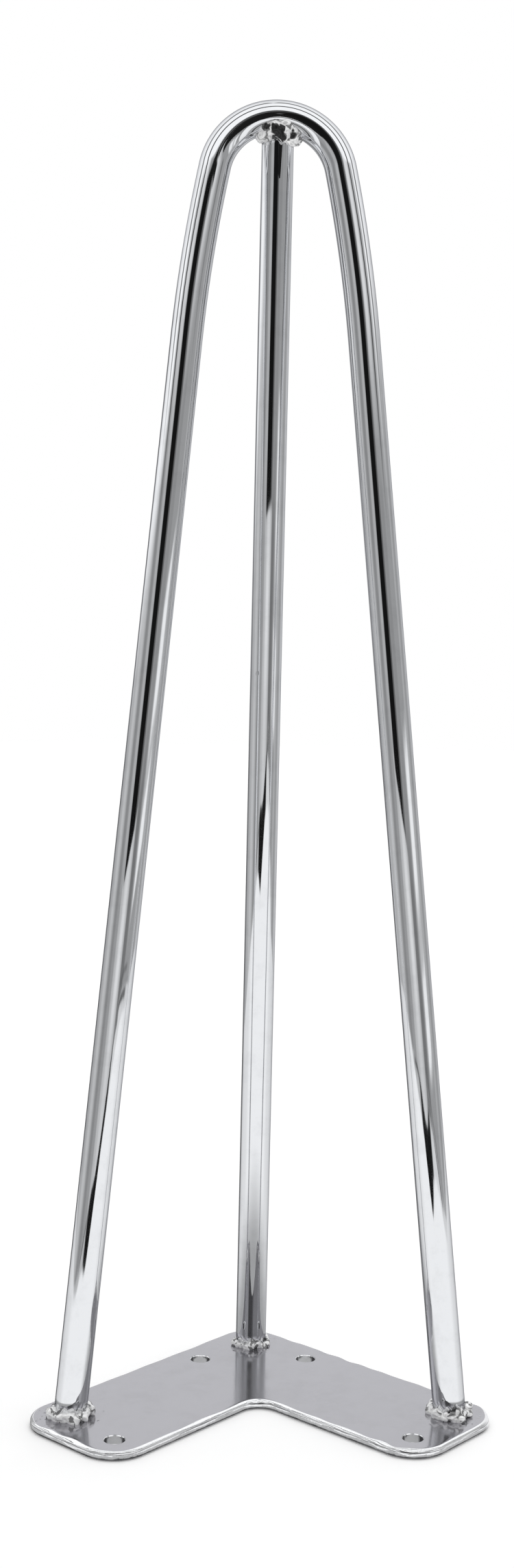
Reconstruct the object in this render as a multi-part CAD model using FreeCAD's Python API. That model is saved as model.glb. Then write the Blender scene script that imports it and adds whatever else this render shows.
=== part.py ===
import FreeCAD, Part
import math
import os

# Hairpin table leg: one rod bent into a hairpin and one straight corner rod, welded to an L shaped plate.
# It stands on the underside of its plate at Z = 0 with the bend at the top.
# The mirror plane is X = 0. The plate's outer corner points to +Y and its two arms run towards -Y.
# Lengths are in millimetres and angles in degrees.

# Rods
rod_diameter = 10.0
overall_height = 406.0
bend_radius = 20.0
shoulder_radius = 500.0
shoulder_turn = 6.3
bend_top_from_corner = 36.0
corner_rod_setback = 2.0
cope_depth = 2.0

# Plate
plate_thickness = 3.0
arm_length = 106.0
arm_width = 43.5
plate_corner_radius = 12.0
inner_corner_radius = 7.0
top_rim_radius = 1.0
bottom_rim_radius = 0.4

# Screw holes and rod feet on the plate
screw_hole_diameter = 6.0
screw_hole_edge_distance = 9.5
screw_hole_edge_break = 0.3
foot_edge_distance = 12.0

# Weld beads, each a ring of droplets with this radius on average
end_weld_size = 1.8
corner_weld_size = 1.4
bend_weld_size = 3.0

# Shares of a weld's size: how far its droplets sit outside the rod, from each other and above the plate,
# how much they differ in size and height, and how small the bend weld gets behind the corner rod
weld_seat = 0.25
weld_droplet_spacing = 1.3
weld_lift = 0.6
weld_size_spread = 0.16
weld_height_spread = 0.2
bend_weld_back = 0.5

# Angles in radians that make the beads differ from each other and along each ring
weld_droplet_turn = 2.4
left_weld_start = 0.4
right_weld_start = 2.1
corner_weld_start = 3.3
bend_weld_start = 1.0

rod_radius = rod_diameter / 2.0
diagonal = math.sqrt(2.0)

# The sharp outer corner lies where the rounded plate's footprint is centred on the origin.
footprint_back = (diagonal - 1.0) * plate_corner_radius
footprint_front = (arm_length + arm_width - 2.0 * plate_corner_radius) / diagonal + plate_corner_radius
corner_y = (footprint_back + footprint_front) / 2.0


def plate_point(along, across, side, height):
    """A point by its distances along and across one arm, on side 1 (towards +X) or side -1."""
    x = side * (along - across) / diagonal
    y = corner_y - (along + across) / diagonal
    return FreeCAD.Vector(x, y, height)


# Feet of the rods on the plate's top face, and the top of the bend
right_foot = plate_point(arm_length - foot_edge_distance, foot_edge_distance, 1, plate_thickness)
left_foot = plate_point(arm_length - foot_edge_distance, foot_edge_distance, -1, plate_thickness)
corner_foot = plate_point(foot_edge_distance, foot_edge_distance, 1, plate_thickness)
bend_top = FreeCAD.Vector(0, corner_y - bend_top_from_corner, overall_height - rod_radius)
corner_rod_aim = bend_top + FreeCAD.Vector(0, corner_rod_setback, 0)
corner_rod_direction = FreeCAD.Vector(corner_rod_aim - corner_foot).normalize()

# The hairpin lies in a plane that leans back from its two feet to the top of the bend.
feet_middle = FreeCAD.Vector(0, right_foot.y, right_foot.z)
lean = FreeCAD.Vector(bend_top - feet_middle).normalize()
bend_centre_height = (bend_top - feet_middle).Length - bend_radius

# Each leg is tangent to a circle about the bend's centre that the shoulder makes a little larger.
# The angles are measured from the top of the bend, where it is level.
leg_circle = bend_radius + (shoulder_radius - bend_radius) * (1.0 - math.cos(math.radians(shoulder_turn)))
leg_angle = math.atan2(bend_centre_height, right_foot.x)
leg_angle += math.asin(leg_circle / math.hypot(right_foot.x, bend_centre_height))
bend_angle = leg_angle - math.radians(shoulder_turn)


def make_plate():
    """The L shaped plate with rounded corners, rounded rims and four screw holes."""
    outline = [
        (0, 0),
        (arm_length, 0),
        (arm_length, arm_width),
        (arm_width, arm_width),
        (arm_width, arm_length),
        (0, arm_length),
    ]
    points = [FreeCAD.Vector(x, y, 0) for x, y in outline]
    wire = Part.makePolygon(points + [points[0]])
    plate = Part.Face(wire).extrude(FreeCAD.Vector(0, 0, plate_thickness))

    plate = plate.makeFillet(plate_corner_radius, upright_edges(plate, False))
    plate = plate.makeFillet(inner_corner_radius, upright_edges(plate, True))
    plate = plate.makeFillet(top_rim_radius, flat_edges(plate, plate_thickness))
    plate = plate.makeFillet(bottom_rim_radius, flat_edges(plate, 0.0))

    plate.rotate(FreeCAD.Vector(0, 0, 0), FreeCAD.Vector(0, 0, 1), 225.0)
    plate.translate(FreeCAD.Vector(0, corner_y, 0))
    for side in (-1, 1):
        near = plate_point(arm_width - screw_hole_edge_distance, screw_hole_edge_distance, side, 0)
        far = plate_point(
            arm_length - screw_hole_edge_distance, arm_width - screw_hole_edge_distance, side, 0
        )
        plate = plate.cut(make_hole_tool(near)).cut(make_hole_tool(far))
    return plate


def upright_edges(shape, inner):
    """The upright edges of the plate's outline: the one in its inner corner, or all the others."""
    found = []
    for edge in shape.Edges:
        box = edge.BoundBox
        from_inner_corner = math.hypot(box.Center.x - arm_width, box.Center.y - arm_width)
        if box.ZLength > plate_thickness / 2.0 and (from_inner_corner < 0.001) == inner:
            found.append(edge)
    return found


def flat_edges(shape, height):
    """The edges of a shape that lie flat at one height."""
    return [
        edge for edge in shape.Edges
        if abs(edge.BoundBox.ZMin - height) < 0.001 and abs(edge.BoundBox.ZMax - height) < 0.001
    ]


def make_hole_tool(place):
    """What a screw hole removes: a straight drilling with a small bevel at both faces."""
    hole_radius = screw_hole_diameter / 2.0
    bevel_radius = hole_radius + screw_hole_edge_break
    up = FreeCAD.Vector(0, 0, 1)
    tool = Part.makeCylinder(hole_radius, plate_thickness + 2.0, place - up, up)
    lower = Part.makeCone(bevel_radius, hole_radius, screw_hole_edge_break, place, up)
    upper_place = place + FreeCAD.Vector(0, 0, plate_thickness - screw_hole_edge_break)
    upper = Part.makeCone(hole_radius, bevel_radius, screw_hole_edge_break, upper_place, up)
    return tool.fuse(lower).fuse(upper)


def cut_at_plate(shape):
    """Remove what reaches below the plate's top face."""
    size = 4.0 * overall_height
    below = Part.makeBox(
        size, size, size, FreeCAD.Vector(-size / 2.0, -size / 2.0, plate_thickness - size)
    )
    return shape.cut(below)


def hairpin_point(x, height, side):
    """A point in the hairpin's plane, by its distance from the mirror plane and its height up the lean."""
    return feet_middle + FreeCAD.Vector(side * x, 0, 0) + lean * height


def bend_point(angle, side):
    """A point on the tight arc, by its angle from the top of the bend."""
    height = bend_centre_height + bend_radius * math.cos(angle)
    return hairpin_point(bend_radius * math.sin(angle), height, side)


def shoulder_point(angle, side):
    """A point on the shoulder, whose arc carries on from the tight arc without a kink."""
    extra = shoulder_radius - bend_radius
    x = shoulder_radius * math.sin(angle) - extra * math.sin(bend_angle)
    height = bend_centre_height + shoulder_radius * math.cos(angle) - extra * math.cos(bend_angle)
    return hairpin_point(x, height, side)


def leg_direction(side):
    """The direction of one straight leg of the hairpin, up from its foot."""
    return FreeCAD.Vector(-side * math.cos(leg_angle), 0, 0) + lean * math.sin(leg_angle)


def make_bent_rod():
    """The hairpin: two straight legs, a slight shoulder on each, and one tight arc over the top."""
    # Each leg starts one rod radius past its foot, and the plate's top face then trims it.
    left_start = left_foot - leg_direction(-1) * rod_radius
    right_start = right_foot - leg_direction(1) * rod_radius
    middle_angle = (bend_angle + leg_angle) / 2.0
    left_shoulder = [shoulder_point(angle, -1) for angle in (leg_angle, middle_angle, bend_angle)]
    right_shoulder = [shoulder_point(angle, 1) for angle in (bend_angle, middle_angle, leg_angle)]

    edges = [
        Part.LineSegment(left_start, left_shoulder[0]).toShape(),
        Part.Arc(*left_shoulder).toShape(),
        Part.Arc(left_shoulder[-1], bend_point(0, 1), right_shoulder[0]).toShape(),
        Part.Arc(*right_shoulder).toShape(),
        Part.LineSegment(right_shoulder[-1], right_start).toShape(),
    ]
    path = Part.Wire(edges)
    section = Part.Wire([Part.Circle(left_start, leg_direction(-1), rod_radius).toShape()])
    rod = path.makePipeShell([section], True, False)
    return cut_at_plate(rod)


def make_corner_rod(bent_rod):
    """The straight rod from the plate's corner, coped to fit under the bend."""
    start = corner_foot - corner_rod_direction * rod_radius
    end = corner_rod_aim - corner_rod_direction * (rod_radius - cope_depth)
    rod = Part.makeCylinder(rod_radius, (end - start).Length, start, corner_rod_direction)
    return cut_at_plate(rod).cut(bent_rod)


def ring_angles(ring_radius, size):
    """Angles round a ring for droplets of this size."""
    count = math.ceil(2.0 * math.pi * ring_radius / (weld_droplet_spacing * size))
    return [2.0 * math.pi * number / count for number in range(count)]


def make_bead(centre, places, sizes, start):
    """A bead of overlapping droplets at these places, each a little larger or smaller than its size."""
    droplets = []
    for number, (place, size) in enumerate(zip(places, sizes)):
        swell = 1.0 + weld_size_spread * math.sin(weld_droplet_turn * number + start)
        droplets.append(Part.makeSphere(size * swell, place, place - centre))
    return droplets[0].multiFuse(droplets[1:])


def make_foot_weld(foot, direction, size, start):
    """The bead on the plate's top face, round the foot of a rod that runs in this direction."""
    ring_radius = rod_radius + weld_seat * size
    places = []
    for angle in ring_angles(ring_radius, size):
        height = size * (weld_lift + weld_height_spread * math.cos(2.0 * angle + start))
        offset = FreeCAD.Vector(math.cos(angle), math.sin(angle), 0) * ring_radius
        places.append(foot + offset + FreeCAD.Vector(0, 0, height))
    bead = make_bead(foot, places, [size] * len(places), start)
    rod = Part.makeCylinder(rod_radius, 4.0 * rod_diameter, foot - direction * rod_diameter, direction)
    return cut_at_plate(bead).cut(rod)


def make_bend_weld(bent_rod, corner_rod):
    """The bead round the corner rod's top end, under the bend, which thins out behind the rod."""
    back_size = bend_weld_size * bend_weld_back
    rod_end = corner_rod_aim.z - rod_radius + cope_depth
    places = []
    sizes = []
    for angle in ring_angles(rod_radius, back_size):
        size = back_size + (bend_weld_size - back_size) * (1.0 - math.cos(angle)) / 2.0
        ring_radius = rod_radius + weld_seat * back_size
        x = ring_radius * math.sin(angle)
        y = corner_rod_aim.y + ring_radius * math.cos(angle)
        bend_axis = bend_top.z - bend_radius + math.sqrt(bend_radius ** 2 - x ** 2)
        underside = bend_axis - math.sqrt(max(rod_radius ** 2 - (y - bend_top.y) ** 2, 0.0))
        drop = weld_height_spread * size * (1.0 + math.cos(2.0 * angle + bend_weld_start))
        places.append(FreeCAD.Vector(x, y, min(underside, rod_end) - drop))
        sizes.append(size)
    bead = make_bead(corner_rod_aim, places, sizes, bend_weld_start)
    return bead.cut(bent_rod).cut(corner_rod)


plate = make_plate()
bent_rod = make_bent_rod()
corner_rod = make_corner_rod(bent_rod)

nodes = {
    "mounting_plate": plate,
    "bent_rod": bent_rod,
    "corner_rod": corner_rod,
    "weld_left_foot": make_foot_weld(left_foot, leg_direction(-1), end_weld_size, left_weld_start),
    "weld_right_foot": make_foot_weld(right_foot, leg_direction(1), end_weld_size, right_weld_start),
    "weld_corner_foot": make_foot_weld(
        corner_foot, corner_rod_direction, corner_weld_size, corner_weld_start
    ),
    "weld_bend": make_bend_weld(bent_rod, corner_rod),
}

os.makedirs("parts", exist_ok=True)
for name, shape in nodes.items():
    shape = shape.removeSplitter()
    print(name, "solids", len(shape.Solids), "valid", shape.isValid(), "volume", round(shape.Volume, 1))
    shape.exportStep("parts/" + name + ".step")
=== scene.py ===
import math
import bmesh
import bpy
import numpy as np
from mathutils import Matrix, Vector


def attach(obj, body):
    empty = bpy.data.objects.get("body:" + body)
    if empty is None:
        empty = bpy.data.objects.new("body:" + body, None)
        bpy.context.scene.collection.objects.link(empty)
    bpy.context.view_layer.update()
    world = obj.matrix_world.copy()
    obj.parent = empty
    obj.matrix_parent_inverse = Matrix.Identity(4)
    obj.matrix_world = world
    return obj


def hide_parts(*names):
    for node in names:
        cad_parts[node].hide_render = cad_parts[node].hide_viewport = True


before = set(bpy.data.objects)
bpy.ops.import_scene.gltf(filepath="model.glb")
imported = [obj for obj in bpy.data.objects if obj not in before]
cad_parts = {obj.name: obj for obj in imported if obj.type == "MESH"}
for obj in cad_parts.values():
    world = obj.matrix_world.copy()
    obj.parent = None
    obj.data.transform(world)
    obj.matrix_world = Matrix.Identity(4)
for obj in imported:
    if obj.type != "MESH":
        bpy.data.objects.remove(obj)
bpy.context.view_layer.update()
print("frame loaded:", ", ".join(sorted(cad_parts)))

# Lengths are worked out in millimetres, and Blender takes them in metres.
mm = 0.001
toRight = np.array([1.0, 0.0, 0.0])
straightUp = np.array([0.0, 0.0, 1.0])


# Sizes shared by the pieces

leg = {
    "height": 406.0,
    "rodRadius": 5.0,
    "plateTop": 3.0,
    "armLength": 106.0,
    "armWidth": 43.5,
    "outerCorner": 12.0,
    "innerCorner": 7.0,
    "footInset": 12.0,
}
footprintFront = (leg["armLength"] + leg["armWidth"] - 2.0 * leg["outerCorner"]) / math.sqrt(2.0)
cornerY = (footprintFront + math.sqrt(2.0) * leg["outerCorner"]) / 2.0


def platePlace(along, across):
    # turns places along and across the left arm into the leg's own x and y, an eighth of a turn away
    return (across - along) / math.sqrt(2.0), cornerY - (along + across) / math.sqrt(2.0)


footX, footY = platePlace(leg["footInset"], leg["armLength"] - leg["footInset"])
cornerFootY = platePlace(leg["footInset"], leg["footInset"])[1]


# Numbers and nodes of a material

class Flow:  # a number, colour or vector on its way through the nodes
    def __init__(self, finish, socket):
        self.finish = finish
        self.socket = socket

    def maths(self, operation, first, second=None):  # one Math node on one or two numbers
        values = {0: first} if second is None else {0: first, 1: second}
        return self.finish.node("ShaderNodeMath", {"operation": operation}, values)

    def __add__(self, other): return self.maths("ADD", self, other)
    def __radd__(self, other): return self.maths("ADD", other, self)
    def __sub__(self, other): return self.maths("SUBTRACT", self, other)
    def __rsub__(self, other): return self.maths("SUBTRACT", other, self)
    def __mul__(self, other): return self.maths("MULTIPLY", self, other)
    def __rmul__(self, other): return self.maths("MULTIPLY", other, self)
    def __truediv__(self, other): return self.maths("DIVIDE", self, other)
    def __rtruediv__(self, other): return self.maths("DIVIDE", other, self)
    def __neg__(self): return self.maths("MULTIPLY", self, -1.0)
    def __abs__(self): return self.maths("ABSOLUTE", self)


class Finish:  # the node tree of a material or of the world
    def __init__(self, owner):
        owner.use_nodes = True
        self.owner = owner
        self.tree = owner.node_tree
        self.tree.nodes.clear()

    def node(self, kind, settings=None, values=None, out=0):
        # a node with its settings, then its sockets' values or links; gives one output, or a list for a tuple
        made = self.tree.nodes.new(kind)
        for key, value in (settings or {}).items():
            if key == "stops":
                setStops(made.color_ramp, value)
            else:
                setattr(made, key, value)
        for key, value in (values or {}).items():
            if isinstance(value, Flow):
                self.tree.links.new(value.socket, made.inputs[key])
            else:
                made.inputs[key].default_value = value
        if isinstance(out, tuple):
            return [Flow(self, made.outputs[each]) for each in out]
        return Flow(self, made.outputs[out]) if made.outputs else None

    def surface(self, shader, kind="ShaderNodeOutputMaterial"):  # the tree's end, fed by this shader
        self.node(kind, {}, {"Surface": shader})
        return self.owner

    def vectors(self, operation, first, second=None, out=0):  # one Vector Math node on one or two vectors
        values = {0: first} if second is None else {0: first, 1: second}
        return self.node("ShaderNodeVectorMath", {"operation": operation}, values, out)

    def parts(self, vector):  # the x, y and z of a vector
        return self.node("ShaderNodeSeparateXYZ", {}, {0: vector}, (0, 1, 2))

    def distance(self, place, x, y, z):  # millimetres from a place to a point
        return self.vectors("DISTANCE", place, (x * mm, y * mm, z * mm), "Value") / mm

    def rise(self, value, low, high):  # 0 below low, 1 above high, smooth between
        return self.node("ShaderNodeMapRange", {"interpolation_type": "SMOOTHSTEP"},
                         {"Value": value, "From Min": low, "From Max": high})

    def fall(self, value, low, high):  # 1 below low, 0 above high, smooth between
        return 1.0 - self.rise(value, low, high)

    def zone(self, value, low, high, soft):  # 1 between low and high, with soft edges; None is no edge
        inside = 1.0 if low is None else self.rise(value, low - soft, low + soft)
        return inside if high is None else inside * self.fall(value, high - soft, high + soft)

    def curve(self, value, low, high, stops):  # a line drawn over value, through these points
        share = self.node("ShaderNodeMapRange", {}, {"Value": value, "From Min": low, "From Max": high})
        points = [((place - low) / (high - low), level) for place, level in stops]
        return self.node("ShaderNodeValToRGB", {"stops": points}, {"Fac": share})

    def mix(self, share, first, second):  # a colour between two; a Mix node's colours are 6, 7 and out 2
        return self.node("ShaderNodeMix", {"data_type": "RGBA"}, {0: share, 6: first, 7: second}, 2)

    def noise(self, place, scale, detail=3.0, rough=0.5, stretch=(1.0, 1.0, 1.0)):  # scale is in waves to a metre
        return self.node("ShaderNodeTexNoise", {}, {
            "Vector": self.vectors("MULTIPLY", place, stretch), "Scale": scale, "Detail": detail, "Roughness": rough})

    def cells(self, place, scale):  # scattered cells: distance to the nearest middle, and its colour
        return self.node("ShaderNodeTexVoronoi", {}, {"Vector": place, "Scale": scale}, ("Distance", "Color"))

    def jitter(self, place, scale, reach):  # a vector that wanders up to reach millimetres each way
        made = self.node("ShaderNodeTexNoise", {}, {"Vector": place, "Scale": scale, "Detail": 1.0}, "Color")
        return self.vectors("MULTIPLY", self.vectors("SUBTRACT", made, (0.5, 0.5, 0.5)), (2.0 * reach * mm,) * 3)


def setStops(ramp, stops):
    # a ramp's points: all are put in place before any gets its level, so that their order holds
    while len(ramp.elements) < len(stops):
        ramp.elements.new(0.5)
    for element, (place, _) in zip(ramp.elements, stops):
        element.position = place
    for element, (_, level) in zip(ramp.elements, stops):
        element.color = (level, level, level, 1.0)


def newFinish(name):
    # an empty material with this name
    return Finish(bpy.data.materials.new(name))


# Surfaces

def gridFaces(rows, columns, closeRows=False):
    # quads between neighbouring rows and columns of a grid of points, whose columns always close round
    r = np.arange(rows if closeRows else rows - 1)[:, None]
    c = np.arange(columns)[None, :]
    nextRow = (r + 1) % rows
    nextColumn = (c + 1) % columns
    corners = [r * columns + c, r * columns + nextColumn, nextRow * columns + nextColumn, nextRow * columns + c]
    return np.stack(corners, -1).reshape(-1, 4)


def fullTurn(count):
    # this many equal steps round a circle, as angles
    return np.linspace(0.0, 2.0 * math.pi, count, endpoint=False)


def levelCircle(count):
    # this many points evenly round a level circle of radius 1
    turn = fullTurn(count)
    return np.stack([np.cos(turn), np.sin(turn), np.zeros(count)], -1)


def makeMesh(name, points, quads, triangles=None):
    # a smooth mesh from points in millimetres
    mesh = bpy.data.meshes.new(name)
    faces = quads.tolist() + ([] if triangles is None else triangles.tolist())
    mesh.from_pydata((np.asarray(points) * mm).tolist(), [], faces)
    mesh.validate()
    mesh.polygons.foreach_set("use_smooth", np.ones(len(mesh.polygons), bool))
    mesh.update()
    return mesh


def finishPiece(name, mesh, material, node):
    # the mesh becomes a piece of the leg, in place of this CAD node
    piece = bpy.data.objects.new(name, mesh)
    bpy.context.scene.collection.objects.link(piece)
    mesh.materials.append(material)
    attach(piece, "root")
    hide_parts(node)
    print("made", name, "with", len(mesh.polygons), "faces")


def tubeMesh(name, grid, along, angles):
    # a grid of rings becomes a tube, and a point in the middle of each end closes it
    rows, columns = grid.shape[:2]
    points = np.vstack([grid.reshape(-1, 3), grid[0].mean(0), grid[-1].mean(0)])
    c = np.arange(columns)
    last = (rows - 1) * columns
    startFan = np.stack([(c + 1) % columns, c, np.full(columns, rows * columns)], -1)
    endFan = np.stack([last + c, last + (c + 1) % columns, np.full(columns, rows * columns + 1)], -1)
    mesh = makeMesh(name, points, gridFaces(rows, columns), np.vstack([startFan, endFan]))
    # the rod's own place: round it in x and y, along it in z, so that drawn lines follow the bends
    own = np.zeros((rows, columns, 3))
    own[..., :2] = np.stack([np.cos(angles), np.sin(angles)], -1) * leg["rodRadius"]
    own[..., 2] = along[:, None]
    own = np.vstack([own.reshape(-1, 3), [0, 0, along[0]], [0, 0, along[-1]]]) * mm
    mesh.attributes.new("rodPlace", "FLOAT_VECTOR", "POINT").data.foreach_set("vector", own.ravel())
    return mesh


# The bent rod

hairpin = {
    "bendRadius": 20.0,
    "shoulderRadius": 500.0,  # the legs run into the bend through this wide arc
    "shoulderTurn": 6.3,  # degrees
    "topFromCorner": 36.0,
    "ringPoints": 96,
    "straightRings": 60,
    "shoulderRings": 24,
    "bendRings": 64,
}
topY = cornerY - hairpin["topFromCorner"]
topZ = leg["height"] - leg["rodRadius"]
lean = np.array([0.0, topY - footY, topZ - leg["plateTop"]])
leanLength = np.linalg.norm(lean)
lean = lean / leanLength
hairpinNormal = np.cross(toRight, lean)
bendHeight = leanLength - hairpin["bendRadius"]
extraRadius = hairpin["shoulderRadius"] - hairpin["bendRadius"]
shoulderTurn = math.radians(hairpin["shoulderTurn"])
legCircle = hairpin["bendRadius"] + extraRadius * (1.0 - math.cos(shoulderTurn))
legAngle = math.atan2(bendHeight, footX) + math.asin(legCircle / math.hypot(footX, bendHeight))
bendAngle = legAngle - shoulderTurn


def hairpinPath():
    # half the middle line from the top of the bend: an arc, a wide arc that carries on, a straight leg
    tight = np.linspace(0.0, bendAngle, hairpin["bendRings"])
    wide = np.linspace(bendAngle, legAngle, hairpin["shoulderRings"])[1:]
    x = np.concatenate([
        hairpin["bendRadius"] * np.sin(tight),
        hairpin["shoulderRadius"] * np.sin(wide) - extraRadius * math.sin(bendAngle),
    ])
    height = bendHeight + np.concatenate([
        hairpin["bendRadius"] * np.cos(tight),
        hairpin["shoulderRadius"] * np.cos(wide) - extraRadius * math.cos(bendAngle),
    ])
    step = np.linspace(0.0, 1.0, hairpin["straightRings"])[1:]
    x = np.concatenate([x, x[-1] + (footX - x[-1]) * step])
    height = np.concatenate([height, height[-1] * (1.0 - step)])
    angle = np.concatenate([tight, wide, np.full(len(step), legAngle)])
    # the left half from its foot up, then the right half down
    x = np.concatenate([-x[:0:-1], x])
    height = np.concatenate([height[:0:-1], height])
    turn = np.concatenate([angle[:0:-1], -angle])
    middle = np.stack([x, np.full(len(x), footY), np.full(len(x), leg["plateTop"])], -1) + height[:, None] * lean
    direction = np.cos(turn)[:, None] * toRight + np.sin(turn)[:, None] * lean
    return middle, direction


def trimAtPlate(ring, direction):
    # slides each point of a ring along the rod until it lies on the plate's top
    return ring + direction * ((leg["plateTop"] - ring[:, 2:]) / direction[2])


def makeBentRod(material):
    # a circle, spanned by the hairpin's normal and a direction across both normal and line, is carried along the
    # middle line, and both feet are cut off level with the plate
    middle, direction = hairpinPath()
    angles = fullTurn(hairpin["ringPoints"])
    across = np.cross(direction, hairpinNormal)
    grid = middle[:, None] + leg["rodRadius"] * (
        np.cos(angles)[None, :, None] * hairpinNormal + np.sin(angles)[None, :, None] * across[:, None])
    along = np.concatenate([[0.0], np.cumsum(np.linalg.norm(np.diff(middle, axis=0), axis=1))])
    grid[0] = trimAtPlate(grid[0], direction[0])
    grid[-1] = trimAtPlate(grid[-1], direction[-1])
    mesh = tubeMesh("bentRod", grid, along, angles)
    finishPiece("bentRod", mesh, material, "bent_rod")


# The corner rod

cornerRod = {
    "setback": 2.0,  # how far behind the bend's middle it aims
    "cope": 2.0,  # how far its end reaches round the bend
    "ringPoints": 96,
    "rings": 90,
    "search": 30.0,  # its end is looked for this far below its aim
    "halvings": 40,
}
cornerFoot = np.array([0.0, cornerFootY, leg["plateTop"]])
cornerAim = np.array([0.0, topY + cornerRod["setback"], topZ])
cornerLength = np.linalg.norm(cornerAim - cornerFoot)
cornerDirection = (cornerAim - cornerFoot) / cornerLength


def distanceToBend(points):
    # how far points are from the bend's middle line, an arc in the leaning plane
    bendCentre = np.array([0.0, footY, leg["plateTop"]]) + bendHeight * lean
    offset = points - bendCentre
    inPlane = np.hypot(offset[..., 0], offset @ lean)
    return np.hypot(inPlane - hairpin["bendRadius"], offset @ hairpinNormal)


def makeCornerRod(material):
    # straight lines side by side round the rod, each halved again and again until it ends on the bend's surface
    angles = fullTurn(cornerRod["ringPoints"])
    across = np.cross(cornerDirection, toRight)
    ring = cornerFoot + leg["rodRadius"] * (np.cos(angles)[:, None] * toRight + np.sin(angles)[:, None] * across)
    start = trimAtPlate(ring, cornerDirection)
    longest = cornerLength - leg["rodRadius"] + cornerRod["cope"]
    missesBend = distanceToBend(ring + longest * cornerDirection) > leg["rodRadius"]
    low = np.full(len(angles), cornerLength - cornerRod["search"])
    high = np.full(len(angles), longest)
    for _ in range(cornerRod["halvings"]):
        middle = (low + high) / 2.0
        inside = distanceToBend(ring + middle[:, None] * cornerDirection) < leg["rodRadius"]
        high = np.where(inside, middle, high)
        low = np.where(inside, low, middle)
    end = ring + np.where(missesBend, longest, (low + high) / 2.0)[:, None] * cornerDirection
    share = np.linspace(0.0, 1.0, cornerRod["rings"])
    grid = start[None] + share[:, None, None] * (end - start)[None]
    mesh = tubeMesh("cornerRod", grid, share * cornerLength, angles)
    finishPiece("cornerRod", mesh, material, "corner_rod")


# The mounting plate

plate = {
    "topRim": 1.25,  # radius of the upper edge's rounding, and how far it varies along the edge
    "topRimSpread": 0.25,
    "rimWaves": (9, 5.0, 40.0, 3),  # how many waves it varies by, the shortest, the longest and their seed
    "bottomRim": 0.9,
    "rimSteps": 9,
    "rimBand": 2.2,  # how far in from the edge the rim's grid reaches
    "bandLines": 12,
    "lastBelow": 1.2,  # the grid's lines next to the roundings
    "firstAbove": 1.8,
    "cornerPoints": 22,
    "straightSpacing": 1.2,
    "holeRadius": 3.0,
    "holeInset": 9.5,
    "holeBevel": 0.3,
    "holePoints": 56,
    "sharpAngle": 32.0,
}


def outlineLines(insets):
    # lines round the L at these distances inside its edge: corners are arcs, and straight runs join them
    width, length = leg["armWidth"], leg["armLength"]
    outer, inner = leg["outerCorner"], leg["innerCorner"]
    arcs = [  # centre, radius, first and last angle in degrees, and 1 where the corner points outwards
        (outer, outer, outer, 180, 270, 1),
        (length - outer, outer, outer, 270, 360, 1),
        (length - outer, width - outer, outer, 0, 90, 1),
        (width + inner, width + inner, inner, 270, 180, -1),
        (width - outer, length - outer, outer, 0, 90, 1),
        (outer, length - outer, outer, 90, 180, 1),
    ]
    corners = []
    for x, y, radius, first, last, sign in arcs:
        angles = np.radians(np.linspace(first, last, plate["cornerPoints"]))
        radii = radius - sign * insets[:, None]
        corners.append(np.stack([x + radii * np.cos(angles), y + radii * np.sin(angles)], -1))
    runs = []
    for this, following in zip(corners, corners[1:] + corners[:1]):
        start, end = this[:, -1], following[:, 0]
        count = max(2, int(np.linalg.norm(end[0] - start[0]) / plate["straightSpacing"]))
        share = np.linspace(0.0, 1.0, count + 1)[1:-1]
        runs.append(this)
        runs.append(start[:, None] + share[None, :, None] * (end - start)[:, None])
    return np.concatenate(runs, 1)


def waves(points, count, shortest, longest, seed):
    # a sum of sine waves in scattered directions, about 1 high and the same each run
    chance = np.random.default_rng(seed)
    total = np.zeros(points.shape[:-1])
    for _ in range(count):
        direction = chance.normal(size=points.shape[-1])
        direction /= np.linalg.norm(direction)
        wavelength = shortest * (longest / shortest) ** chance.random()
        total += np.sin(points @ direction * (2.0 * math.pi / wavelength) + chance.random() * 2.0 * math.pi)
    return total / math.sqrt(count / 2.0)


def rimGrid():
    # a profile carried round the outline: flat below, a quarter round, a wall, a quarter round whose radius varies
    # because it is finished by hand, and flat above
    quarter = np.radians(np.linspace(0.0, 90.0, plate["rimSteps"]))[:, None]
    top = plate["topRim"] + plate["topRimSpread"] * waves(outlineLines(np.zeros(1))[0], *plate["rimWaves"])
    one = np.ones_like(top)
    bottom, thickness = plate["bottomRim"] * one, leg["plateTop"] * one
    inset = np.vstack([
        plate["rimBand"] * one, plate["lastBelow"] * one, bottom * (1.0 - np.sin(quarter)),
        top * (1.0 - np.cos(quarter)), plate["firstAbove"] * one, plate["rimBand"] * one])
    height = np.vstack([
        0.0 * one, 0.0 * one, bottom * (1.0 - np.cos(quarter)),
        thickness - top * (1.0 - np.sin(quarter)), thickness, thickness])
    # each inset falls between two lines of a ladder of outlines, and is read off there
    steps = np.linspace(0.0, plate["rimBand"], plate["bandLines"])
    lines = outlineLines(steps)
    place = np.clip(inset / steps[1], 0, len(steps) - 1.001)
    below = place.astype(int)
    share = (place - below)[..., None]
    column = np.arange(lines.shape[1])[None]
    flat = lines[below, column] * (1.0 - share) + lines[below + 1, column] * share
    x, y = platePlace(flat[..., 0], flat[..., 1])
    return np.stack([x, y, height], -1)


def plateHoles():
    # the middles of the screw holes: two by the corner, then two by the arms' ends
    nearHole = (leg["armWidth"] - plate["holeInset"], plate["holeInset"])
    farHole = (leg["armLength"] - plate["holeInset"], leg["armWidth"] - plate["holeInset"])
    return [platePlace(*place) for place in (nearHole, nearHole[::-1], farHole, farHole[::-1])]


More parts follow.
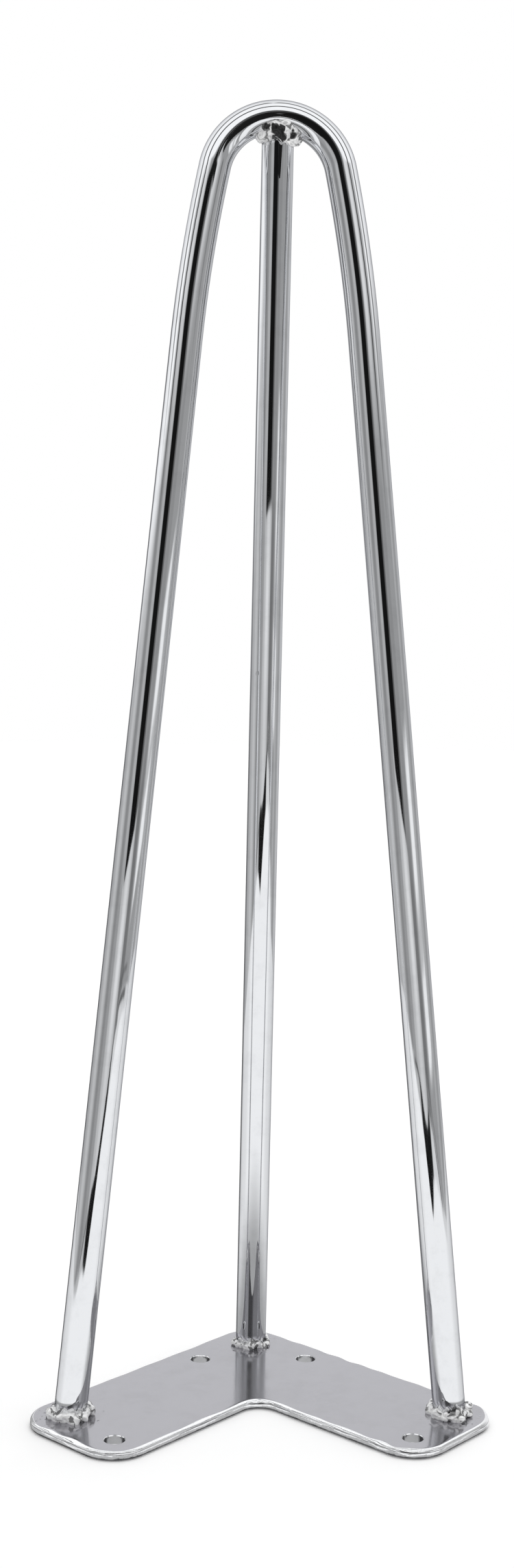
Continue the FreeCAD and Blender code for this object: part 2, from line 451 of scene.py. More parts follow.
def holeGrids():
    # each hole is a small profile carried round a circle: a flat ring, a bevel, the wall, a bevel, a flat ring
    radius, bevel, thickness = plate["holeRadius"], plate["holeBevel"], leg["plateTop"]
    radii = np.array([radius + 2 * bevel, radius + bevel, radius, radius, radius + bevel, radius + 2 * bevel])
    heights = np.array([thickness, thickness, thickness - bevel, bevel, 0.0, 0.0])
    ring = radii[:, None, None] * levelCircle(plate["holePoints"]) + heights[:, None, None] * straightUp
    return [ring + np.array([x, y, 0.0]) for x, y in plateHoles()]


def fillFlat(work, loops, up):
    # triangles between the first loop and the others inside it, which face up or, where up is -1, down
    edges = []
    for loop in loops:
        for first, second in zip(loop, np.roll(loop, -1)):
            edges.append(work.edges.get((work.verts[int(first)], work.verts[int(second)])))
    filled = bmesh.ops.triangle_fill(work, use_beauty=True, edges=edges, normal=(0.0, 0.0, up))
    for face in filled["geom"]:
        if isinstance(face, bmesh.types.BMFace):
            face.smooth = True
            face.normal_update()
            if face.normal.z * up < 0.0:
                face.normal_flip()


def makePlate(material):
    # the rim's grid and the holes' grids, joined above and below by flat faces
    rim = rimGrid()
    rows, columns = rim.shape[:2]
    points, quads, used = [rim.reshape(-1, 3)], [gridFaces(rows, columns)], rows * columns
    tops, bottoms = [np.arange(columns) + (rows - 1) * columns], [np.arange(columns)]
    for hole in holeGrids():
        rows, columns = hole.shape[:2]
        points.append(hole.reshape(-1, 3))
        quads.append(gridFaces(rows, columns) + used)
        tops.append(np.arange(columns) + used)
        bottoms.append(np.arange(columns) + used + (rows - 1) * columns)
        used += rows * columns
    mesh = makeMesh("mountingPlate", np.vstack(points), np.vstack(quads))
    work = bmesh.new()
    work.from_mesh(mesh)
    work.verts.ensure_lookup_table()
    fillFlat(work, tops, 1.0)
    fillFlat(work, bottoms, -1.0)
    work.to_mesh(mesh)
    work.free()
    mesh.set_sharp_from_angle(angle=math.radians(plate["sharpAngle"]))
    finishPiece("mountingPlate", mesh, material, "mounting_plate")


# The welds

weld = {
    "endSize": 1.65,  # radius of a droplet at the bent rod's feet, at the corner rod's and at the bend
    "cornerSize": 1.2,
    "bendSize": 3.0,
    "bendBack": 0.5,  # the share of that size behind the corner rod
    "seat": 0.25,  # this and the next five are shares of a droplet's radius
    "spacing": 1.3,
    "lift": 0.6,
    "coreLift": 0.48,
    "heightSpread": 0.2,
    "sizeSpread": 0.16,
    "turn": 2.4,  # sizes go up and down in a wave, this far on for each droplet
    "roundPoints": 260,
    "sectionPoints": 84,
    "joining": 9,  # higher keeps the droplets more apart
    "leastReach": 0.55,
    "shrink": 0.93,
    "lumps": 0.5,  # millimetres, with how many waves, the shortest and the longest
    "lumpWaves": (16, 3.6, 8.0),
    "crumple": 0.07,
    "crumpleWaves": (12, 2.0, 4.5),
    "sink": 0.12,  # how far a bead reaches into the rod and the plate
}


def ringAngles(radius, size):
    # as many equal steps round a ring as keep droplets of this size their spacing apart
    count = math.ceil(2.0 * math.pi * radius / (weld["spacing"] * size))
    return np.arange(count) * 2.0 * math.pi / count


def beadSurface(core, outward, droplets, sizes, seed):
    # from a ring of core points, each ray across the bead runs to the skins of the droplets that it meets, joined
    # softly by a mean of high power; waves make the bead lumpy, and folded waves crumple it
    section = fullTurn(weld["sectionPoints"])[None, :, None]
    rays = np.cos(section) * outward[:, None] + np.sin(section) * straightUp
    offset = droplets[None] - core[:, None]
    toward = np.einsum("unk,urk->urn", offset, rays)
    inside = sizes ** 2 - (offset ** 2).sum(-1)[:, None] + toward ** 2
    skin = np.where(inside > 0.0, toward + np.sqrt(np.maximum(inside, 0.0)), 0.0)
    reach = (np.maximum(skin, 0.0) ** weld["joining"]).sum(-1) ** (1.0 / weld["joining"])
    reach = np.maximum(reach, sizes.min() * weld["leastReach"])
    points = core[:, None] + reach[..., None] * rays
    lumps = weld["lumps"] * waves(points, *weld["lumpWaves"], seed)
    crumple = weld["crumple"] * (1.0 - 2.0 * np.abs(waves(points, *weld["crumpleWaves"], seed + 1)))
    reach = reach * weld["shrink"] + lumps + crumple
    return core[:, None] + reach[..., None] * rays


def pushOut(points, centre, direction, radius):
    # moves points that lie inside a rod out to this distance from its middle line
    offset = points - centre
    sideways = offset - (offset @ direction)[..., None] * direction
    distance = np.linalg.norm(sideways, axis=-1, keepdims=True)
    return points + sideways / np.maximum(distance, 1e-6) * np.maximum(radius - distance, 0.0)


def makeFootWeld(name, node, foot, direction, size, start, seed, material):
    # a ring of droplets round the rod's foot, flattened where it meets the plate
    ring = leg["rodRadius"] + weld["seat"] * size
    angles = ringAngles(ring, size)
    height = size * (weld["lift"] + weld["heightSpread"] * np.cos(2.0 * angles + start))
    droplets = foot + np.stack([ring * np.cos(angles), ring * np.sin(angles), height], -1)
    sizes = size * (1.0 + weld["sizeSpread"] * np.sin(weld["turn"] * np.arange(len(angles)) + start))
    outward = levelCircle(weld["roundPoints"])
    core = foot + outward * ring + size * weld["coreLift"] * straightUp
    points = beadSurface(core, outward, droplets, sizes, seed)
    points = pushOut(points, foot, direction, leg["rodRadius"] - weld["sink"])
    points[..., 2] = np.maximum(points[..., 2], leg["plateTop"] - weld["sink"])
    mesh = makeMesh(name, points.reshape(-1, 3), gridFaces(*points.shape[:2], closeRows=True)[:, ::-1])
    finishPiece(name, mesh, material, node)


def makeBendWeld(start, seed, material):
    # droplets round the corner rod's end follow the bend's underside, large in front and small behind
    size = weld["bendSize"]
    back = size * weld["bendBack"]
    ring = leg["rodRadius"] + weld["seat"] * back
    rodEnd = topZ - leg["rodRadius"] + cornerRod["cope"]

    def sizeAt(angle):
        # from small at angle 0, behind, to full size half way round
        return back + (size - back) * (1.0 - np.cos(angle)) / 2.0

    def placeAt(angle, dropletSize):
        # on a circle about the corner rod, as high as the bend's underside or the rod's end, less a small drop
        x = ring * np.sin(angle)
        y = cornerAim[1] + ring * np.cos(angle)
        bendAxis = topZ - hairpin["bendRadius"] + np.sqrt(hairpin["bendRadius"] ** 2 - x ** 2)
        underside = bendAxis - np.sqrt(np.maximum(leg["rodRadius"] ** 2 - (y - topY) ** 2, 0.0))
        drop = weld["heightSpread"] * dropletSize * (1.0 + np.cos(2.0 * angle + start))
        return np.stack([x, y, np.minimum(underside, rodEnd) - drop], -1)

    angles = ringAngles(leg["rodRadius"], back)
    droplets = placeAt(angles, sizeAt(angles))
    wave = np.sin(weld["turn"] * np.arange(len(angles)) + start)
    sizes = sizeAt(angles) * (1.0 + weld["sizeSpread"] * wave)
    turn = fullTurn(weld["roundPoints"])
    outward = np.stack([np.sin(turn), np.cos(turn), np.zeros_like(turn)], -1)
    points = beadSurface(placeAt(turn, sizeAt(turn)), outward, droplets, sizes, seed)
    mesh = makeMesh("bendWeld", points.reshape(-1, 3), gridFaces(*points.shape[:2], closeRows=True))
    finishPiece("bendWeld", mesh, material, "weld_bend")


# Chrome. Heights are in millimetres, for noise from 0 to 1; scales are waves or cells to a metre; a pair of values is
# where a mask starts and where it is full.

rodChrome = {
    "colour": (0.86, 0.865, 0.88, 1.0),
    "dull": (0.74, 0.745, 0.76, 1.0),
    "edge": (0.34, 0.34, 0.355, 1.0),  # the tint where a rod is seen edge on
    "metallic": 1.0,
    "roughness": 0.03,
    "wave": 0.02,
    "waveScale": 90.0,
    "waveStretch": (1.0, 1.0, 0.55),
    "line": 0.0012,
    "lineScale": 900.0,
    "lineStretch": (1.0, 1.0, 0.03),
    "lineDull": (0.4, 0.8),
    "lineRoughness": 0.03,
    "cloudScale": 160.0,
    "cloudDull": (0.45, 0.75),
    "dullShare": 0.5,
    "pit": 0.05,
    "pitRoughness": 0.2,
    "pitScale": 95.0,
    "pitEdge": (0.03, 0.09),
    "pitChance": (0.72, 0.74),  # only cells of chance above this have a pit
}


def finishChrome(f, look, colour, rough, height):
    # a mirror of this colour whose skin rises by height, with the look's own tint where it is seen edge on
    bump = f.node("ShaderNodeBump", {}, {"Strength": 1.0, "Distance": mm, "Height": height})
    return f.surface(f.node("ShaderNodeBsdfPrincipled", {}, {
        "Base Color": colour, "Metallic": look["metallic"], "Roughness": rough, "Normal": bump,
        "Specular Tint": look["edge"]}))


def makeRodChrome():
    # long faint lines from drawing the rod, a slow waviness, and a few pits in the plating
    f, look = newFinish("rodChrome"), rodChrome
    place = f.node("ShaderNodeAttribute", {"attribute_name": "rodPlace"}, out="Vector")
    wave = f.noise(place, look["waveScale"], detail=2.0, rough=0.4, stretch=look["waveStretch"])
    line = f.noise(place, look["lineScale"], rough=0.6, stretch=look["lineStretch"])
    cloud = f.noise(place, look["cloudScale"], detail=4.0, rough=0.6)
    gap, chance = f.cells(place, look["pitScale"])
    pit = f.fall(gap, *look["pitEdge"]) * f.rise(f.parts(chance)[0], *look["pitChance"])
    height = wave * look["wave"] + line * look["line"] - pit * look["pit"]
    colour = f.mix((f.rise(cloud, *look["cloudDull"]) + pit) * look["dullShare"], look["colour"], look["dull"])
    rough = look["roughness"] + f.rise(line, *look["lineDull"]) * look["lineRoughness"] + pit * look["pitRoughness"]
    return finishChrome(f, look, colour, rough, height)


plateChrome = {
    "colour": (0.455, 0.45, 0.477, 1.0),
    "dull": (0.42, 0.415, 0.437, 1.0),
    # a painted highlight: the plate's edge and the holes' bevels are coloured near white
    "rim": (0.97, 0.97, 0.98, 1.0),
    # painted shade and dark reflection: along the foot of the plate's edge, in a broken line on the edge, and on the
    # holes' walls at their left and right
    "paintedDark": (0.06, 0.06, 0.065, 1.0),
    # a painted reflection on the holes' walls: pale in the middle, dark at the left and right
    "holeWall": (0.8, 0.8, 0.81, 1.0),
    "edge": (0.95, 0.95, 0.95, 1.0),
    "metallic": 0.87,
    "roughness": 0.13,
    "wave": 0.024,
    "waveScale": 45.0,
    "grain": 0.005,
    "grainScale": 900.0,
    "cloudScale": 120.0,
    "cloudDull": (0.42, 0.72),
    "cloudRough": (0.4, 0.8),
    "cloudRoughness": 0.05,
    "dullShare": 0.6,
    "rimGloss": 0.08,  # how much less rough the edge is
    "bead": 0.09,
    "beadScale": 380.0,
    "spatter": 0.1,
    "spatterScale": 520.0,
    "spatterSize": (0.05, 0.32),
    "spatterPatches": 260.0,
    "spatterShare": (0.18, 0.4),
    "spatterReach": (6.0, 17.0),  # millimetres from a foot between which the specks thin out
    "rimTop": (2.93, 2.99),  # heights on the plate's edge
    # heights of the painted shade and dark reflection along the foot of the edge
    "footShadeTop": (0.85, 1.25),
    "footShadeWander": 0.5,  # how far the beads lift a line along the edge
    # heights of a broken painted reflection of a dark line on the edge
    "reflectedLine": (2.05, 2.22, 0.05),  # from, to and softness
    "reflectedLineWander": 0.35,
    "reflectedLineShare": 0.8,
    "reflectedLinePatches": 60.0,
    "reflectedLineBreaks": (0.42, 0.5),
    "bevelEdge": (4.5, 5.5),  # distances from a hole's middle
    "wallEdge": (3.0, 3.2),
    # where the painted dark reflection on a hole's wall starts and is full, aside from its middle
    "holeReflectionAside": (1.8, 2.6),
}


def spatterMask(f, look, place):
    # specks that the welds threw out: cells whose middles are kept where noise times nearness to a foot is high
    near = 0.0
    for x, y in ((-footX, footY), (footX, footY), (0.0, cornerFootY)):
        near = near + f.fall(f.distance(place, x, y, leg["plateTop"]), *look["spatterReach"])
    gap = f.cells(place, look["spatterScale"])[0]
    patches = f.noise(place, look["spatterPatches"], detail=2.0)
    return f.fall(gap, *look["spatterSize"]) * f.rise(near * patches, *look["spatterShare"])


def holeMasks(f, look, place):
    # round every hole: the hole with its bevel, its wall alone, and a painted dark reflection at its left and right
    flat = f.vectors("MULTIPLY", place, (1.0, 1.0, 0.0))
    across = f.parts(place)[0] / mm
    holes, walls, holeSideReflection = 0.0, 0.0, 0.0
    for x, y in plateHoles():
        aside = f.distance(flat, x, y, 0.0)
        hole = f.fall(aside, *look["bevelEdge"])
        holes = holes + hole
        walls = walls + f.fall(aside, *look["wallEdge"])
        holeSideReflection = holeSideReflection + hole * f.rise(abs(across - x), *look["holeReflectionAside"])
    return holes, walls, holeSideReflection


def makePlateChrome():
    # a softer mirror: rolled sheet with a slow waviness and a fine grain; its edge is lumpy and painted brighter as a
    # highlight, with painted shade and dark reflection along its foot and a broken painted reflection of a dark line
    # on it
    f, look = newFinish("plateChrome"), plateChrome
    place = f.node("ShaderNodeTexCoord", out="Object")
    wave = f.noise(place, look["waveScale"])
    grain = f.noise(place, look["grainScale"], rough=0.6)
    cloud = f.noise(place, look["cloudScale"], detail=5.0, rough=0.65)
    bead = f.noise(place, look["beadScale"], rough=0.6)
    level = f.parts(place)[2] / mm
    holes, walls, holeSideReflection = holeMasks(f, look, place)
    side = f.fall(level, *look["rimTop"])
    rim, bevel, holeWall = side * (1.0 - holes), side * (holes - walls), side * walls
    height = wave * look["wave"] + grain * look["grain"]
    height = height + spatterMask(f, look, place) * look["spatter"] + rim * bead * look["bead"]
    # painted shade and dark reflection along the foot of the edge
    paintedDark = f.fall(level + bead * look["footShadeWander"], *look["footShadeTop"]) * (1.0 - holes)
    # a broken painted reflection of a dark line across the edge, higher up
    reflectedLine = f.zone(level + bead * look["reflectedLineWander"], *look["reflectedLine"]) * f.rise(
        f.noise(place, look["reflectedLinePatches"], detail=2.0), *look["reflectedLineBreaks"])
    dark = paintedDark + reflectedLine * look["reflectedLineShare"] * (1.0 - holes) - paintedDark * reflectedLine
    colour = f.mix(f.rise(cloud, *look["cloudDull"]) * look["dullShare"], look["colour"], look["dull"])
    # the edge and the holes' bevels are painted bright as a highlight, under the painted shade and reflections
    colour = f.mix(dark, f.mix(rim + bevel, colour, look["rim"]), look["paintedDark"])
    # the holes' walls get a painted reflection: pale, with dark at their left and right
    colour = f.mix(holeWall, colour, f.mix(holeSideReflection, look["holeWall"], look["paintedDark"]))
    rough = look["roughness"] - rim * look["rimGloss"] + f.rise(cloud, *look["cloudRough"]) * look["cloudRoughness"]
    return finishChrome(f, look, colour, rough, height)


weldChrome = {
    "colour": (0.97, 0.97, 0.97, 1.0),
    "crease": (0.1, 0.1, 0.1, 1.0),
    # painted shade in the hollows under the bend
    "shadedHollow": (0.02, 0.02, 0.02, 1.0),
    "edge": (0.8, 0.8, 0.8, 1.0),
    "metallic": 0.35,
    "roughness": 0.08,
    "grain": 0.04,
    "grainScale": 420.0,
    "grainRoughness": 0.1,
    "crack": 0.08,
    "crackScale": 210.0,
    "crackEdge": (0.02, 0.1),
    "crackPatches": 150.0,
    "crackShare": (0.48, 0.56),
    "crackDark": 0.85,
    "bendScale": 520.0,  # the cracks wander by as much as bendReach
    "bendReach": 1.5,
    "facet": 0.12,
    "facetScale": 700.0,
    "facetDark": (0.86, 0.88),  # only facets of chance above this are dark
    "hollowDepth": 0.5,
    "hollowSoft": 0.25,
    "hollowBack": (15.5, 16.5),  # the hollows end here, towards the back
    "hollows": [  # x, z and radius of hollows between the droplets under the bend, painted dark as shade
        (-1.2, 395.5, 1.5), (0.4, 395.9, 1.2), (0.2, 394.2, 1.1), (1.0, 393.2, 0.7), (-4.0, 396.9, 1.0),
        (-5.2, 396.5, 0.7), (4.2, 394.4, 0.9),
    ],
}


def hollowMask(f, look, place, bent):
    # 1 inside any of the hollows, where shade is painted, seen from the front, and 0 behind the corner rod
    flat = f.vectors("MULTIPLY", bent, (1.0, 0.0, 1.0))
    shadedHollow = 0.0
    for x, z, radius in look["hollows"]:
        aside = f.distance(flat, x, 0.0, z)
        shadedHollow = shadedHollow + f.fall(aside, radius - look["hollowSoft"], radius + look["hollowSoft"])
    front = f.fall(f.parts(place)[1] / mm, *look["hollowBack"])
    return shadedHollow.maths("MINIMUM", shadedHollow * front, 1.0)


def makeWeldChrome():
    # plating over rough droplets: bright crests, dark cracks between wandering cells, facets, and a few hollows with
    # painted shade
    f, look = newFinish("weldChrome"), weldChrome
    place = f.node("ShaderNodeTexCoord", out="Object")
    bent = f.vectors("ADD", place, f.jitter(place, look["bendScale"], look["bendReach"]))
    grain = f.noise(place, look["grainScale"])
    gap = f.node("ShaderNodeTexVoronoi", {"feature": "DISTANCE_TO_EDGE"},
                 {"Vector": bent, "Scale": look["crackScale"]}, "Distance")
    patches = f.noise(place, look["crackPatches"], detail=2.0)
    crack = f.fall(gap, *look["crackEdge"]) * f.rise(patches, *look["crackShare"])
    darkness, rise, _ = f.parts(f.cells(bent, look["facetScale"])[1])
    crack = crack + f.rise(darkness, *look["facetDark"]) * (1.0 - crack)
    shadedHollow = hollowMask(f, look, place, bent)
    height = grain * look["grain"] - crack * look["crack"] - shadedHollow * look["hollowDepth"] + rise * look["facet"]
    # the hollows are painted near black as shade
    colour = f.mix(shadedHollow, f.mix(crack * look["crackDark"], look["colour"], look["crease"]), look["shadedHollow"])
    return finishChrome(f, look, colour, look["roughness"] + grain * look["grainRoughness"], height)


rodFinish = makeRodChrome()
plateFinish = makePlateChrome()
weldFinish = makeWeldChrome()
print("chrome mixed for rods, plate and welds")

makeBentRod(rodFinish)
makeCornerRod(rodFinish)
makePlate(plateFinish)
leftFoot = np.array([-footX, footY, leg["plateTop"]])
leftDirection = np.cos(legAngle) * toRight + np.sin(legAngle) * lean
mirrored = np.array([-1.0, 1.0, 1.0])
feet = [  # piece, node, foot, the rod's direction there, droplet size, where its wave of sizes starts, and seed
    ("leftFootWeld", "weld_left_foot", leftFoot, leftDirection, weld["endSize"], 0.4, 11),
    ("rightFootWeld", "weld_right_foot", leftFoot * mirrored, leftDirection * mirrored, weld["endSize"], 2.1, 17),
    ("cornerFootWeld", "weld_corner_foot", cornerFoot, cornerDirection, weld["cornerSize"], 3.3, 23),
]
for foot in feet:
    makeFootWeld(*foot, weldFinish)
makeBendWeld(1.0, 31, weldFinish)


# The studio: a pale floor, soft light, and the wall and black sheets that the chrome mirrors

studio = {
    "floorRings": (1, 300, 800, 2000, 4000),
    "floorSides": 64,
    "floorColour": (0.93, 0.93, 0.93, 1.0),
    "floorRoughness": 0.9,
    "floorLift": 0.12,  # added for the camera alone, so that the floor runs into the background
    "wallRadius": 1100.0,
    "wallHeights": (-1600, 0, 2200),
    "wallSides": 128,
    "wallTint": (0.98, 0.99, 1.0, 1.0),
    "streakScale": 0.55,  # to a degree
    "towardCamera": (-0.06, -0.998, 0.0),
    "sheetGlow": 0.012,
    "levelHeight": 335.0,
    "levelSheet": [(-150, -260), (-92, -178), (-50, -165), (-20, -195), (12, -225), (45, -560), (-330, -560)],
    "leaningHeight": 380.8,  # at y = 0
    "leaningSlope": 0.3443,
    "leaningSheet": [(2, -27), (6, -18), (12, -21), (22, -38), (34, -58), (50, -81),
                     (80, -118), (120, -160), (120, -280), (10, -280), (8, -100), (3, -45)],
    "uprightY": -115,
    "uprightSheet": [(-24, 439), (0, 437), (12, 433), (26, 428), (26, 438), (8, 441),
                     (0, 444), (-12, 448), (-24, 451)],
    "worldLight": 0.78,
    "lampLight": 0.7,
    "lampAngle": 50.0,
    "lampTilt": (-12.0, 14.0),
}


def makeStage(name, mesh, onlyMirrored):
    # the mesh becomes part of the studio; where onlyMirrored is set, nothing but a mirror image shows it
    thing = bpy.data.objects.new(name, mesh)
    bpy.context.scene.collection.objects.link(thing)
    if onlyMirrored:
        for rays in ("camera", "diffuse", "shadow", "transmission", "volume_scatter"):
            setattr(thing, "visible_" + rays, False)
    return thing


def makeFloor():
    # a flat disc: rings of points about the middle, and a fan inside the smallest
    radii, sides = np.array(studio["floorRings"]), studio["floorSides"]
    grid = radii[:, None, None] * levelCircle(sides)
    c = np.arange(sides)
    fan = np.stack([c, (c + 1) % sides, np.full(sides, len(radii) * sides)], -1)
    points = np.vstack([grid.reshape(-1, 3), [0.0, 0.0, 0.0]])
    mesh = makeMesh("studioFloor", points, gridFaces(len(radii), sides)[:, ::-1], fan)
    makeStage("studioFloor", mesh, False).visible_glossy = False
    f = newFinish("paleFloor")
    cameraRay = f.node("ShaderNodeLightPath", out="Is Camera Ray")
    mesh.materials.append(f.surface(f.node("ShaderNodeBsdfPrincipled", {}, {
        "Base Color": studio["floorColour"], "Roughness": studio["floorRoughness"],
        "Emission Color": (1.0, 1.0, 1.0, 1.0), "Emission Strength": cameraRay * studio["floorLift"]})))


def makeBlackSheet(name, points):
    # a black sheet that shows one side only: the bend looks down on it, and the rods look up through it
    mesh = makeMesh(name, points, np.arange(len(points))[None, ::-1])
    makeStage(name, mesh, True)
    f = newFinish(name)
    fromBelow = f.node("ShaderNodeNewGeometry", out="Backfacing")
    dark = f.node("ShaderNodeEmission", {}, {"Strength": studio["sheetGlow"]})
    clear = f.node("ShaderNodeBsdfTransparent")
    mesh.materials.append(f.surface(f.node("ShaderNodeMixShader", {}, {0: fromBelow, 1: dark, 2: clear})))


def makeWall():
    # an upright tube with a lid, round the leg, that is lit by its own greys
    heights, sides = np.array(studio["wallHeights"]), studio["wallSides"]
    grid = studio["wallRadius"] * levelCircle(sides) + heights[:, None, None] * straightUp
    points = np.vstack([grid.reshape(-1, 3), heights[-1] * straightUp])
    c = np.arange(sides)
    last = (len(heights) - 1) * sides
    lid = np.stack([last + (c + 1) % sides, last + c, np.full(sides, last + sides)], -1)
    mesh = makeMesh("studioWall", points, gridFaces(len(heights), sides)[:, ::-1], lid)
    mesh.polygons.foreach_set("use_smooth", np.zeros(len(mesh.polygons), bool))
    makeStage("studioWall", mesh, True)
    f = newFinish("studioGreys")
    x, y, z = f.parts(f.node("ShaderNodeTexCoord", out="Object"))
    degrees = math.degrees(1.0)
    around = x.maths("ARCTAN2", x, -y) * degrees
    # how far a place is turned from the camera's side, seen from the top of the leg
    fromTop = f.node("ShaderNodeCombineXYZ", {}, {"X": x, "Y": y, "Z": z - leg["height"] * mm})
    facing = f.vectors("DOT_PRODUCT", f.vectors("NORMALIZE", fromTop), studio["towardCamera"], "Value")
    turned = facing.maths("ARCCOSINE", facing) * degrees
    grey = wallGreys(f, around, z / mm, turned)
    mesh.materials.append(f.surface(f.node("ShaderNodeEmission", {}, {"Color": studio["wallTint"], "Strength": grey})))


# The wall's patches, each over the last. Degrees round the wall run from 0 behind the camera to 180 behind the leg,
# on the right, and to -180 on the left; heights are in millimetres. Both are from, to and softness, and None is no
# edge. Then come the millimetres that the patch climbs with each degree, its grey, and how much of the streaks shows.
everywhere = (None, None, 0.0)
sidePatches = [
    (everywhere, everywhere, 0, 0.35, 0.2),
    ((None, -75, 7), everywhere, 0, 0.5, 0.2),  # the left side, with a pale and a dark strip
    ((-104, -84, 7), everywhere, 0, 0.58, 0),
    ((-69, -53, 6), everywhere, 0, 0.28, 0),
    ((-47, -31, 3), (280, None, 50), 0, 0.47, 0),
    ((13, 40, 5), everywhere, 0, 0.3, 0.2),  # the right side, darker low down
    ((14, 36, 4), (None, 280, 50), 0, 0.2, 0),
    ((78, None, 6), everywhere, 0, 0.46, 0.2),
    ((92, 109, 6), everywhere, 0, 0.36, 0),
    ((124, None, 14), everywhere, 0, 0.85, 0),
    ((46, 76, 7), (90, 390, 20), 0, 0.56, 0),  # a window and its two panes
    ((48, 74, 6), (95, 180, 14), 0, 0.95, 0),
    ((48, 74, 6), (240, 380, 28), 0, 0.95, 0),
    ((None, -71, 9), (1115, None, 115), 6, 1.08, 0),  # lights high up on the left, then on the right
    ((-64, -34, 5), (750, None, 150), 0, 0.74, 0),
    ((69, None, 9), (710, None, 150), 0, 1.02, 0),
    ((16, 42, 7), (730, None, 130), 0, 0.8, 0),
    ((44, 62, 7), (830, None, 130), 0, 0.5, 0),
]
lastPatches = [
    (everywhere, (None, -395, 65), 0, 0.4, 0.3),  # below the table, down to the floor
    (everywhere, (-780, -640, 20), 0, 0.05, 0),
    (everywhere, (None, -1200, 50), 0, 0.8, 0),
    ((None, -135, 3), (None, 660, 100), 0, 0.34, 0),  # behind the leg, which the plate mirrors
    ((132, None, 4), (None, 660, 100), 0, 0.88, 0),
    ((None, -156, 4), (190, None, 70), 0, 0.98, 0),
    ((156, None, 4), (190, None, 70), 0, 0.98, 0),
]

# Two lines drawn round the wall, where the pale table ends and where the dark above it does: degrees, and heights
# in decimetres above lineFoot
tableEdge = [(-180, 0.6), (-120, 0.7), (-75, 1.0), (-50, 1.2), (-38, 1.35), (-26, 1.32), (-16, 1.15), (-8, 1.08),
             (0, 1.35), (12, 1.78), (20, 1.9), (30, 2.0), (45, 1.98), (55, 1.8), (68, 1.5), (80, 1.25), (180, 1.1)]
darkEdge = [(-180, 0.65), (-120, 0.75), (-75, 1.06), (-60, 1.25), (-45, 1.6), (-36, 1.78), (-22, 1.95), (-10, 1.92),
            (0, 2.05), (8, 2.25), (14, 2.45), (23, 2.75), (35, 2.55), (50, 2.2), (66, 1.8), (90, 1.25), (180, 1.1)]
lineFoot = -200.0
decimetre = 100.0


def blend(base, mask, value):
    # base where the mask is 0, value where it is 1
    return base + mask * (value - base)


def paintPatches(f, grey, patches, around, height, streak):
    # blends in one patch after another, by how much of a place each covers
    for angles, heights, climb, level, streaks in patches:
        mask = f.zone(around, *angles) * f.zone(height - climb * around, *heights)
        grey = blend(grey, mask, level + streaks * streak)
    return grey


def paintFront(f, grey, around, height, streak):
    # behind the camera: a pale panel with a glow in it, and above it a black band with a grey strip on its right
    panel = f.zone(around, -34, 14, 5) * f.fall(height, 266, 278)
    glow = f.zone(around, -18, 4, 8) * (0.5 + 0.5 * f.zone(height, 110, 240, 60))
    grey = blend(grey, panel, 0.55 + 0.26 * glow + 0.24 * streak)
    above = f.rise(height - 0.3 * around, 270, 280)
    grey = blend(grey, f.zone(around, 3, 12, 3) * above, 0.13)
    return blend(grey, f.zone(around, -28, 4, 2) * above * f.fall(height + 1.75 * around, 950, 965), 0.008)


def paintTable(f, grey, around, height, streak):
    # the pale table that the leg stands on, up to its edge, and the dark strip and thin lines above that
    tableTop = decimetre * f.curve(around, -180.0, 180.0, tableEdge) + lineFoot
    darkTop = decimetre * f.curve(around, -180.0, 180.0, darkEdge) + lineFoot
    front = f.zone(around, -29, 19, 4)
    under = 0.74 - 0.22 * f.zone(around, -70, -20, 5)
    grey = blend(grey, f.fall(height - darkTop, -3, 4), under + front * (0.01 - under))
    line = f.zone(height - darkTop, -11, -1, 3) * f.zone(around, -52, 66, 6)
    line = line + f.zone(height - darkTop, -26, -12, 4) * f.zone(around, 12, 30, 5)
    line = line + f.zone(height - darkTop, 14, 21, 3) * f.zone(around, 12, 60, 6) * 0.8
    grey = blend(grey, line * (1.0 - front), 0.12)
    side = f.rise(abs(around), 60, 90)
    return blend(grey, f.fall(height - tableTop, -4, 6), 0.98 - 0.14 * side + 0.24 * streak)


def paintOverhead(f, grey, around, height, turned):
    # the bright ceiling, and two dark frames of the light in it
    grey = blend(grey, f.rise(height + 40 * f.zone(around, -20, 30, 20), 1030, 1090), 1.08)
    above = f.rise(height, 560, 760)
    grey = blend(grey, f.zone(turned, 56, 63, 1.5) * above, 0.06)
    return blend(grey, f.zone(turned, 87, 97, 2) * above, 0.22)


def wallGreys(f, around, height, turned):
    # a streaky middle grey, painted over at the sides, the front, the table, the ceiling, low down and behind
    across = f.node("ShaderNodeCombineXYZ", {}, {"X": around})
    streak = f.noise(across, studio["streakScale"], detail=4.0, rough=0.65) - 0.5
    grey = paintPatches(f, 0.0, sidePatches, around, height, streak)
    grey = paintFront(f, grey, around, height, streak)
    grey = paintTable(f, grey, around, height, streak)
    grey = paintOverhead(f, grey, around, height, turned)
    return paintPatches(f, grey, lastPatches, around, height, streak)


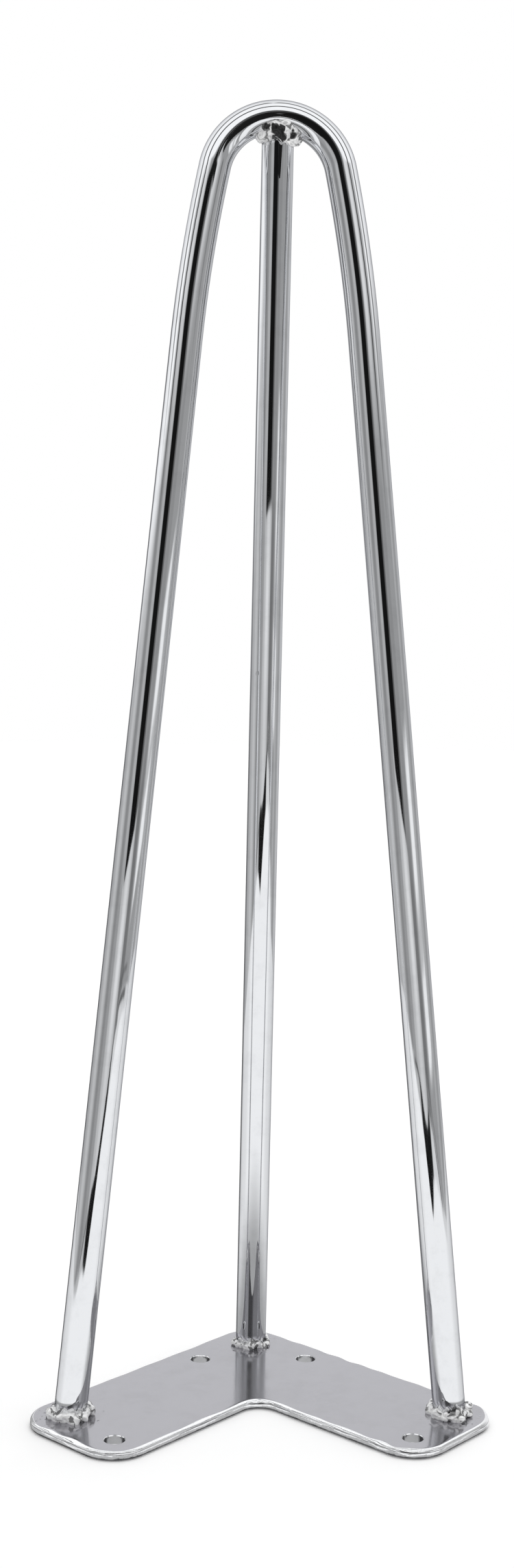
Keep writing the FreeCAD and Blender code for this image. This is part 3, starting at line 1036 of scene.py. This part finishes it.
def makeLight():
    # an even white world, a little weaker for what it lights than for what sees it, and one soft sun
    world = bpy.data.worlds.new("softLight")
    bpy.context.scene.world = world
    world.cycles.sampling_method = "NONE"
    f = Finish(world)
    camera, glossy, transmission = f.node(
        "ShaderNodeLightPath", out=("Is Camera Ray", "Is Glossy Ray", "Is Transmission Ray"))
    strength = studio["worldLight"] + (1.0 - studio["worldLight"]) * (camera + glossy + transmission)
    f.surface(f.node("ShaderNodeBackground", {}, {"Color": (1.0, 1.0, 1.0, 1.0), "Strength": strength}),
              "ShaderNodeOutputWorld")
    lamp = bpy.data.objects.new("softLamp", bpy.data.lights.new("softLamp", "SUN"))
    bpy.context.scene.collection.objects.link(lamp)
    lamp.data.energy = studio["lampLight"]
    lamp.data.angle = math.radians(studio["lampAngle"])
    lamp.rotation_euler = (*np.radians(studio["lampTilt"]), 0.0)
    lamp.visible_glossy = False


makeFloor()
makeWall()
makeBlackSheet("levelSheet", [(x, y, studio["levelHeight"]) for x, y in studio["levelSheet"]])
makeBlackSheet("leaningSheet", [
    (x, y, studio["leaningHeight"] - studio["leaningSlope"] * y) for x, y in studio["leaningSheet"]])
makeBlackSheet("uprightSheet", [(x, studio["uprightY"], z) for x, z in studio["uprightSheet"]])
makeLight()
print("studio ready")


# The camera: stands a little left of the leg and a little above its middle, and is turned very slightly

view = {
    "around": 3.37,
    "above": 4.15,
    "roll": 1.13,
    "distance": 561.0,
    "aside": 4.1,
    "below": 5.2,
    "lookAt": (0.0, -7.144, 200.0),
    "lens": 42.15,
    "sensor": 36.0,
    "clip": (10.0, 50000.0),
}


def makeCamera():
    # back from its aim by the distance, aside and below, all turned round the leg; roll turns right into up
    above, roll = math.radians(view["above"]), math.radians(view["roll"])
    right = Vector((1.0, 0.0, 0.0))
    up = Vector((0.0, math.sin(above), math.cos(above)))
    forward = Vector((0.0, math.cos(above), -math.sin(above)))
    place = -view["aside"] * right - view["below"] * up - view["distance"] * forward
    turned = Matrix.Rotation(-math.radians(view["around"]), 3, "Z")
    place = (turned @ place + Vector(view["lookAt"])) * mm
    right, up = right * math.cos(roll) + up * math.sin(roll), up * math.cos(roll) - right * math.sin(roll)
    right, up, back = turned @ right, turned @ up, turned @ -forward
    camera = bpy.data.objects.new("camera", bpy.data.cameras.new("camera"))
    bpy.context.scene.collection.objects.link(camera)
    camera.matrix_world = Matrix.LocRotScale(place, Matrix((right, up, back)).transposed(), None)
    camera.data.lens = view["lens"]
    camera.data.sensor_width = view["sensor"]
    camera.data.clip_start, camera.data.clip_end = view["clip"][0] * mm, view["clip"][1] * mm
    bpy.context.scene.camera = camera


makeCamera()
bpy.context.scene.view_settings.view_transform = "Standard"
print("camera set")
